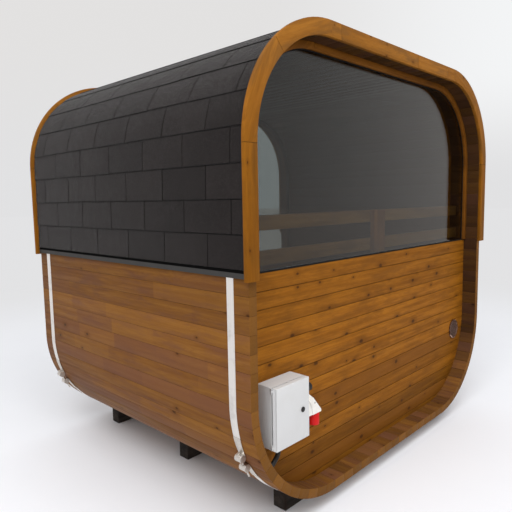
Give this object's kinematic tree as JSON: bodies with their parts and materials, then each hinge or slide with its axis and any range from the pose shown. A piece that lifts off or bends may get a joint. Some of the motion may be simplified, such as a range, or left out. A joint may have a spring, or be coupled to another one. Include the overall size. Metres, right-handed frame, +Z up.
{
  "type": "outdoor sauna cabin",
  "caption": "Timber sauna cabin with a rounded square section, shingled roof and upper sides, a large tinted window at one end and a glass door at the other.",
  "frame": {"origin": "on the ground under the middle of the cabin", "axes": "+Z up, staves along Y, the window end faces -Y and the door end +Y, the supply box is on the -X side of the window end"},
  "size_m": [2.436, 1.9209, 2.298],
  "materials": {
    "shell_timber": "oiled thermally treated softwood",
    "end_timber": "oiled boards with knots",
    "fascia_timber": "oiled, sawn to curves",
    "bearer_timber": "black stain",
    "roof_felt": "mineral granules on bitumen",
    "flashing": "satin dark grey",
    "band_steel": "bright, smooth",
    "tinted_glass": "grey tint, polished",
    "seal_black": "matt",
    "box_paint": "light grey, fine powder coat",
    "lock_black": "matt",
    "inlet_white": "satin",
    "inlet_red": "satin",
    "conduit_black": "satin",
    "vent_metal": "satin, anodised brown",
    "fitting_steel": "satin"
  },
  "bodies": {
    "cabin": {"floor_staves": "shell_timber", "roof_staves": "shell_timber", "left_wall_staves": "shell_timber", "right_wall_staves": "shell_timber", "upper_left_corner_staves": "shell_timber", "upper_right_corner_staves": "shell_timber", "lower_left_corner_staves": "shell_timber", "lower_right_corner_staves": "shell_timber", "front_bearer": "bearer_timber", "middle_bearer": "bearer_timber", "rear_bearer": "bearer_timber", "front_band": "band_steel", "rear_band": "band_steel", "front_tensioners": "band_steel", "rear_tensioners": "band_steel", "left_roof_shingles": "roof_felt", "right_roof_shingles": "roof_felt", "ridge_cap_shingles": "roof_felt", "eaves_flashings": "flashing", "window_end_fascia_left": "fascia_timber", "window_end_fascia_right": "fascia_timber", "window_end_fascia_top": "fascia_timber", "door_end_fascia_left": "fascia_timber", "door_end_fascia_right": "fascia_timber", "door_end_fascia_top": "fascia_timber", "window_trim": "fascia_timber", "door_end_trim": "fascia_timber", "window_end_wall": "end_timber", "door_end_left_wall": "end_timber", "door_end_right_wall": "end_timber", "door_posts": "end_timber", "door_threshold": "end_timber", "door_head": "end_timber", "door_leaf_frame": "end_timber", "door_handle": "end_timber", "backrest_post": "end_timber", "backrest_rails": "end_timber", "window_glass": "tinted_glass", "door_end_side_lights": "tinted_glass", "door_glass": "tinted_glass", "window_sill": "seal_black", "window_gasket": "seal_black", "vent_grille": "vent_metal", "door_hinges": "fitting_steel", "supply_box_plate": "fitting_steel", "supply_box_body": "box_paint", "inlet_gland": "lock_black", "inlet_housing": "inlet_white", "inlet_collar": "inlet_red", "supply_conduit": "conduit_black"},
    "box_door": {"supply_box_door": "box_paint", "supply_box_lock": "lock_black"}
  },
  "joints": [
    {"name": "box_door_hinge", "type": "hinge", "parent": "cabin", "child": "box_door", "pos_m": [-1.057, -0.9308, 0.571], "axis": [0, 0, -1], "range_deg": [0, 100]}
  ]
}
